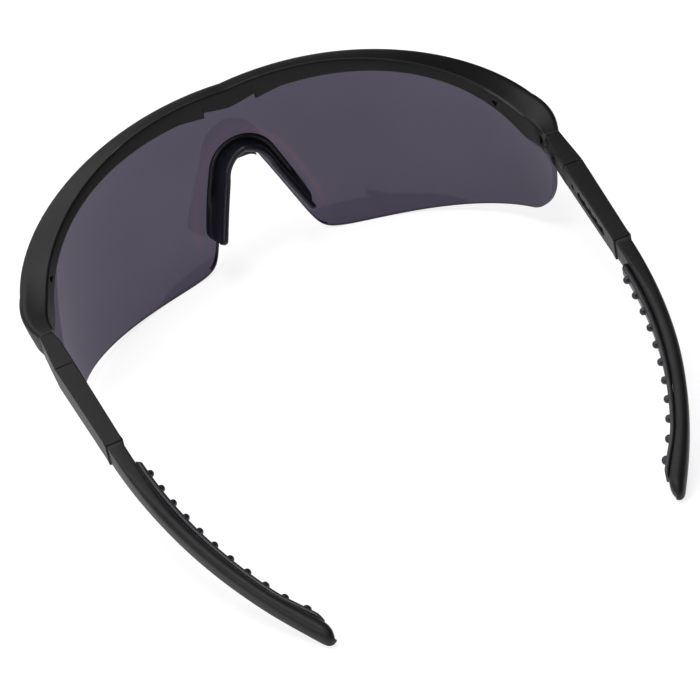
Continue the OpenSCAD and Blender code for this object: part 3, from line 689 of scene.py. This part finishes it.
def nose_section(u):
    """The saddle's section at share u: a wall that leans back to a soft crest, ribs on it, and a rim on the lens."""
    depth = BRIDGE_DEPTH + PAD_DEPTH * u ** 1.2
    shrink = 1 if u < END_FROM else math.sqrt(max(0.06, 1 - ((u - END_FROM) / END_SPAN) ** 3))
    rear = 1.4 + 1.5 * max(0, 1 - u / 0.3) ** 1.5 + 2 * u ** 2.2
    rim = NOSE_RIM - 0.5 * u * u
    top = Vector((rear + NOSE_WALL, depth - 0.9))
    foot = Vector((rim - 1.62, 1.62))
    out = Vector((top.y - foot.y, foot.x - top.x)).normalized()
    broad = 1.05 * smooth((u - 0.5) / 0.3)
    section = [(1.6, 0.1), (lerp(rear, 1.4, 0.5) - 0.1, depth * 0.5), (rear, depth - 0.5),
               (rear + NOSE_WALL * 0.4, depth), (rear + NOSE_WALL * 0.75, depth - 0.15), top]
    section += [top.lerp(foot, t) + out * r for t, r in RIBS]
    section += [(foot.x + broad, foot.y + broad * 0.6), (rim - 1.5 + broad, 0.85 + broad * 1.1),
                (rim - 1.3 + broad, 1.15 + broad * 0.7), (rim - 0.4 + broad * 0.2, 1.15 - broad * 0.1),
                (rim, 0.7), (rim, 0.1)]
    mid = (2.9, depth * 0.4)
    flat = [Vector((lerp(mid[0], p, shrink), max(0.1, lerp(mid[1], b, shrink)), 0)) for p, b in section]
    # Each leg runs on a little further along the lens than at its crest.
    reach = 0.065 * smooth((u - 0.65) / 0.35)
    return [on_nose(u + reach * (1 - p.y / depth), p.x, max(0.1, p.y)) for p in rounded(flat, NOSE_RADII)]


nose_shares = ([k / LEG_RINGS * END_FROM for k in range(LEG_RINGS)]
               + [END_FROM + END_SPAN * math.sin(k / END_RINGS * math.pi / 2) for k in range(END_RINGS + 1)])
make("nose_saddle", *skin(both_sides([nose_section(u) for u in nose_shares])), [rubber_mat], "front", ["nosepiece"],
     "nosepiece", NOSE_SHARP)

# The channel at the bridge that grips the lens's edge: its section out from the arch's centre and through the lens.
CLIP_IN, CLIP_SEAT, CLIP_OUT, CLIP_BACK, CLIP_SLOT, CLIP_FRONT = NOSE_R - 1.2, NOSE_R - 0.15, NOSE_R + 2, -2, 0.2, 1.1
CLIP = [(CLIP_IN, CLIP_BACK), (CLIP_OUT, CLIP_BACK), (CLIP_OUT, -0.4), (CLIP_SEAT, -0.4),
        (CLIP_SEAT, LENS_T + CLIP_SLOT), (CLIP_OUT, LENS_T + CLIP_SLOT), (CLIP_OUT, LENS_T + CLIP_FRONT),
        (CLIP_IN, LENS_T + CLIP_FRONT)]
CLIP_RADII = [0.4, 0.3, 0.3, 0.05, 0.05, 0.3, 0.4, 0.4]
CLIP_ANGLE, CLIP_RINGS = math.radians(52), 30


def clip_ring(a, close):
    """The channel's section at angle a round the arch, drawn in to its seat by close."""
    ring = []
    for p in rounded([Vector((*p, 0)) for p in CLIP], CLIP_RADII):
        q = Vector((CLIP_SEAT + (p.x - CLIP_SEAT) * close, p.y, 0))
        ring.append(leaned(q.x * math.sin(a), -DEPTH - q.y, NOSE_Z + q.x * math.cos(a)))
    return ring


clip_rings = [clip_ring(CLIP_ANGLE * k / CLIP_RINGS, 0.1 + 0.75 * math.cos(math.pi / 2 * k / CLIP_RINGS) ** 2)
              for k in range(CLIP_RINGS + 1)]
make("nose_channel", *skin(both_sides(clip_rings)), [rubber_mat], "front", [], "nosepiece", NOSE_SHARP)

# ---- the temples ----
# Vertices closer than WELD, in metres, are joined, and faces within FLAT are one face. Edges over SHARP degrees
# stay sharp. FAR, in millimetres, is beyond everything.
WELD, FLAT, SHARP, FAR = 2e-6, math.radians(1.0), 40, 60
# What is drawn from the CAD's own shape: the new piece, its node, its body, the width of its easing, the length that
# an edge needs to be eased, both in metres, whether it stands for the node, and where along the temple it is cut off.
REFINED = (("hinge_block_eased", "hinge_block", "hinge", 0.0002, 0.009, True, None),
           ("sleeve_eased", "sleeve", "temple", 0.0002, 0.005, True, None),
           ("arm_tongue", "arm", "extension", 0.0001, 0.009, False, ARM_V + 0.4))


def simplify(bm):
    weld(bm, WELD)
    bmesh.ops.dissolve_limit(bm, angle_limit=FLAT, verts=bm.verts, edges=bm.edges)


def refine(name, source, body, width, longer, replaces, cut_at):
    """A node's own shape again, with its long sharp edges broken as moulded edges are.
    What lies behind cut_at, along the temple, is left out."""
    def ease(bm):
        sharp = [e for e in bm.edges if e.is_manifold and e.calc_length() > longer
                 and e.calc_face_angle_signed() > math.radians(SHARP)]
        # The bevel's faces take the second material, painted lighter: a painted highlight on the eased edges.
        bmesh.ops.bevel(bm, geom=sharp, offset=width, offset_type="OFFSET", segments=2, profile=0.5, affect="EDGES",
                        clamp_overlap=False, material=1)
        weld(bm, WELD)
        bmesh.ops.dissolve_degenerate(bm, edges=bm.edges, dist=WELD)
        bmesh.ops.triangulate(bm, faces=bm.faces)

    me = nodes[source].data.copy()
    me.name = name
    edit(me, simplify)
    o = finish(name, me, [flat_mat, eased_highlight_mat], body, replaces, SHARP)
    if cut_at is not None:
        behind = cut_at + 2 * FAR
        subtract(o, [(-FAR, cut_at), (FAR, cut_at), (FAR, behind), (-FAR, behind)], -FAR, FAR)
    edit(o.data, simplify, ease)
    shade(o.data, SHARP)
    return o


def even_shading(o):
    """Keeps the large faces flat to look at beside their eased edges."""
    mod = o.modifiers.new("even", "WEIGHTED_NORMAL")
    mod.keep_sharp = True
    mod.weight = 100
    apply_modifiers(o)


def refine_mirrored(name, o, body, replaces):
    """The same piece for the other side."""
    me = o.data.copy()
    me.name = name
    kinds = [f.material_index for f in me.polygons]
    for v in me.vertices:
        v.co.x = -v.co.x
    me.flip_normals()
    o = finish(name, me, [flat_mat, eased_highlight_mat], body, replaces, SHARP)
    for f, kind in zip(o.data.polygons, kinds):
        f.material_index = kind
    return o


for piece, source, body, width, longer, stands_for, cut_at in REFINED:
    hidden = {side: [side + source] if stands_for else [] for side in ("left_", "right_")}
    o = refine("left_" + piece, "left_" + source, "left_" + body, width, longer, hidden["left_"], cut_at)
    even_shading(refine_mirrored("right_" + piece, o, "right_" + body, hidden["right_"]))
    even_shading(o)

# Distances along the arm start at its front seam. The tip swells from SWELL_FROM before its end, over SWELL_SPAN.
SWELL, SWELL_FROM, SWELL_SPAN, ARM_RISE, IN_POWER, DOWN_POWER, AHEAD = 1.1, 18, 13, 0.02, 2.4, 2.6, 0.2
# How far before the end its inner side, its outer side and its height round off, and how squarely.
TIP_INNER, TIP_OUTER, TIP_TALL = (5.4, 2.4), (1.9, 2.4), (3.8, 2.6)
PAD_0, PAD_1 = 7.0, ARM_LEN - 4.5
NUB_0, NUB_LAST, CLOSING = 11.8, 4.7, 0.0063
PITCH = (PAD_1 - NUB_LAST - NUB_0) / ((NUBS - 1) * (1 - CLOSING * (NUBS - 1)))
# A nub from its fillet to its top: radius and height. The first FILLET_RINGS of them don't count as its place.
NUB = [(1.25, 0.12), (1.12, -0.24), (1.03, -0.45), (0.99, -0.8), (0.88, -1.1), (0.68, -1.34), (0.4, -1.5),
       (0.12, -1.55)]
NUB_SIDES, FILLET_RINGS = 24, 2


def tip_swell(s):
    return SWELL * smooth((s - ARM_LEN + SWELL_FROM) / SWELL_SPAN)


def arm_u(s):
    return SLEEVE_U - ARM_IN * (max(s, 0) / ARM_LEN) ** IN_POWER - tip_swell(s) / 2


def arm_z(s):
    return -TEMPLE_H / 2 + ARM_RISE * s - ARM_DOWN * (max(s, 0) / ARM_LEN) ** DOWN_POWER


def arm_size(s):
    return lerp(ARM_W, ARM_W2, s / ARM_LEN) + tip_swell(s), lerp(ARM_H, ARM_H2, s / ARM_LEN)


def on_arm(s, p, q):
    """A point p out from the arm's middle and q up from it, at s along the arm."""
    lo, hi = max(0, s - AHEAD), s + AHEAD
    way = Vector((arm_u(hi) - arm_u(lo), hi - lo, arm_z(hi) - arm_z(lo))).normalized()
    out = way.cross(Vector((0, 0, 1))).normalized()
    return to_face(Vector((arm_u(s), ARM_V + s, arm_z(s))) + out * p + out.cross(way) * q)


def tip_round(s, length, power):
    e = max(0, s - ARM_LEN + length) / length
    return math.sqrt(max(0.02, 1 - e ** power))


def box_ring(w, h, r, n=7):
    """A w by h rectangle with its corners rounded by r."""
    return [((w / 2 - r) * (1 if q in (0, 3) else -1) + r * math.cos(math.radians(90 * q + 90 * i / (n - 1))),
             (h / 2 - r) * (1 if q < 2 else -1) + r * math.sin(math.radians(90 * q + 90 * i / (n - 1))))
            for q in (3, 2, 1, 0) for i in reversed(range(n))]


def arm_ring(s):
    """The arm's section. At the tip its inner side falls away in a long curve and its outer side in a short one."""
    inner, outer, tall = (tip_round(s, *shape) for shape in (TIP_INNER, TIP_OUTER, TIP_TALL))
    w, h = arm_size(s)
    r = min(lerp(0.45, 0.46 * w, smooth(s / 30)), w * 0.47)
    return [on_arm(s, (p - w / 2) * inner * outer + w / 2 * outer, q * tall) for p, q in box_ring(w, h, r)]


def pad_thick(s):
    return PAD_T * lerp(1.15, 0.8, s / ARM_LEN)


def pad_ring(s):
    """The grip strip's section, which thins out and narrows at both ends."""
    w, h = arm_size(s)
    near = math.sqrt(min(1, max(0.12, (s - PAD_0) / 1.2)) * min(1, max(0.12, (PAD_1 - s) / 2)))
    tall, t = h * 0.56 * lerp(0.55, 1, near), pad_thick(s) * lerp(0.3, 1, near)
    return [on_arm(s, -w / 2 - 0.03 - t / 2 + p, q) for p, q in box_ring(t, tall, t * 0.42, 5)]


def nub(s):
    """A domed nub that rises from the pad in a small fillet."""
    base = -arm_size(s)[0] / 2 - pad_thick(s) + 0.35
    turns = [2 * k * math.pi / NUB_SIDES for k in range(NUB_SIDES)]
    return [[on_arm(s + r * math.cos(a), base + d, 0.1 + r * math.sin(a)) for a in turns] for r, d in NUB]


def sample(a, b, n):
    return [lerp(a, b, k / n) for k in range(n + 1)]


def mirrored(rings, flip):
    return [[across(p) for p in ring] for ring in rings] if flip else rings


arm_rings = [arm_ring(s) for s in sample(0, ARM_LEN - 8, 90) + sample(ARM_LEN - 7.7, ARM_LEN - 1.8, 20)
             + [ARM_LEN - 1.7 * math.cos(k * math.pi / 24) for k in range(13)]]
pad_rings = [pad_ring(s) for s in sample(PAD_0, PAD_0 + 1.4, 6) + sample(PAD_0 + 2, PAD_1 - 2.4, 80)
             + sample(PAD_1 - 2, PAD_1, 8)]
nub_places = {}
for side, flip in (("left", False), ("right", True)):
    body = side + "_extension"
    make(side + "_arm_smooth", *skin(mirrored(arm_rings, flip)), [frame_mat], body, [side + "_arm"], "frame", SHARP)
    verts, faces = skin(mirrored(pad_rings, flip))
    for k in range(NUBS):
        more, wraps = skin(mirrored(nub(NUB_0 + PITCH * k * (1 - CLOSING * k)), flip))
        nub_places[side, k] = [rest(p) for p in more[FILLET_RINGS * NUB_SIDES:]]
        faces += [tuple(i + len(verts) for i in f) for f in wraps]
        verts += more
    make(side + "_grip_strip", verts, faces, [grip_mat], body, [side + "_grip_pad"], "grips", SHARP)

# ---- floor and light ----
FLOOR_HALF, FLOOR_GLOW, SKY_LEVEL = 30, 0.8, 0.06
# Each lamp's name, place, aim, width, height and power.
LAMPS = (("key", (0.27, -0.50, 0.46), (0.03, 0.0, 0.03), 0.52, 0.60, 1.6),
         ("key_above", (-0.04, -0.50, 0.80), (0.04, 0.08, 0.02), 0.15, 0.24, 0.32),
         ("fill", (0.55, 0.20, 0.35), (0.03, 0.06, 0.02), 0.4, 0.4, 1.6),
         ("top", (0.15, -0.05, 1.4), (0, 0, 0.02), 0.8, 0.8, 10.0))


def floor_material():
    """Pale, and paler to the camera and in what reflects it or shows it through."""
    m, t, out = material("pale_floor")
    colour = mottle(t, noise(t, 6, 3), (0.34, 0.34, 0.34), (0.36, 0.36, 0.36))
    path = node(t, "ShaderNodeLightPath").outputs
    beyond = calc(t, "MAXIMUM", path["Is Glossy Ray"], path["Is Transmission Ray"])
    seen = calc(t, "MAXIMUM", path["Is Camera Ray"], beyond)
    diffuse = node(t, "ShaderNodeBsdfDiffuse", {"Color": colour})
    glow = node(t, "ShaderNodeEmission", {"Strength": calc(t, "MULTIPLY", seen, FLOOR_GLOW)})
    add = node(t, "ShaderNodeAddShader", {0: diffuse.outputs["BSDF"], 1: glow.outputs["Emission"]})
    t.links.new(add.outputs["Shader"], out.inputs["Surface"])
    return m


def lamp(name, place, aim, wide, tall, power):
    data = bpy.data.lights.new(name, "AREA")
    data.shape = "RECTANGLE"
    data.size, data.size_y, data.energy = wide, tall, power
    o = bpy.data.objects.new(name, data)
    o.location = place
    o.rotation_euler = (Vector(place) - Vector(aim)).to_track_quat("Z", "Y").to_euler()
    bpy.context.scene.collection.objects.link(o)


me = bpy.data.meshes.new("floor")
corners = ((-1, -1), (1, -1), (1, 1), (-1, 1))
me.from_pydata([(x * FLOOR_HALF, y * FLOOR_HALF, 0) for x, y in corners], [], [(0, 1, 2, 3)])
floor = bpy.data.objects.new("floor", me)
bpy.context.scene.collection.objects.link(floor)
floor.data.materials.append(floor_material())
for settings in LAMPS:
    lamp(*settings)
world = bpy.data.worlds.new("world")
world.use_nodes = True
sky, t = world.node_tree.nodes["Background"], world.node_tree
sky.inputs["Color"].default_value = (1, 1, 1, 1)
to_camera = node(t, "ShaderNodeLightPath").outputs["Is Camera Ray"]
t.links.new(spread(t, to_camera, SKY_LEVEL, 1, 0, 1), sky.inputs["Strength"])
bpy.context.scene.world = world
bpy.context.scene.view_settings.view_transform = "Standard"

# ---- where the image points fall in the picture, worked out and not kept ----
# A point shows when nothing lies between it and the camera, up to this many metres before it. The lens's right end
# is beyond END_X.
SHOW_GAP, END_X = 0.0003, -0.05
inverse = camera.matrix_world.inverted()
eye = camera.matrix_world.translation
parts = [o for o in bpy.context.scene.objects if o.type == "MESH" and o.name != "floor" and o.name not in replaced]
deps = bpy.context.evaluated_depsgraph_get()
deps.update()
trees = [BVHTree.FromObject(o, deps) for o in parts]


def pixel(p):
    v = inverse @ Vector(p)
    k = L * camera_data.lens / camera_data.sensor_width / -v.z
    return W / 2 - camera_data.shift_x * L + v.x * k, H / 2 + camera_data.shift_y * L - v.y * k


def shows(p):
    way = Vector(p) - eye
    return all(tree.ray_cast(eye, way.normalized(), way.length - SHOW_GAP)[0] is None for tree in trees)


def extreme(points, axis, sign):
    """The furthest of the points that show, along x or y of the picture."""
    for _, p in sorted(((sign * pixel(p)[axis], i), p) for i, p in enumerate(points))[::-1]:
        if shows(p):
            return pixel(p)[axis]
    return None


def middle(points):
    """The middle of those of the points that show."""
    seen = [pixel(p) for p in points if shows(p)] or [pixel(p) for p in points]
    return [(min(q[k] for q in seen) + max(q[k] for q in seen)) / 2 for k in (0, 1)]


def finished(name):
    return [v.co.copy() for v in bpy.data.objects[name].data.vertices]


everything = [p for o in parts for p in finished(o.name)]
for name, axis, sign in (("object_left", 0, -1), ("object_right", 0, 1),
                         ("object_top", 1, -1), ("object_bottom", 1, 1)):
    extreme(everything, axis, sign)
for side, k in (("left", 0), ("left", 5), ("left", 9), ("right", 0), ("right", 5), ("right", 10)):
    middle(nub_places[side, k])
nose_points = finished("nose_saddle")
extreme(nose_points, 1, -1)
extreme(nose_points, 1, 1)
extreme(finished("right_arm_smooth"), 1, 1)
extreme([p for p in finished("tinted_shield") if p.x < END_X], 0, 1)
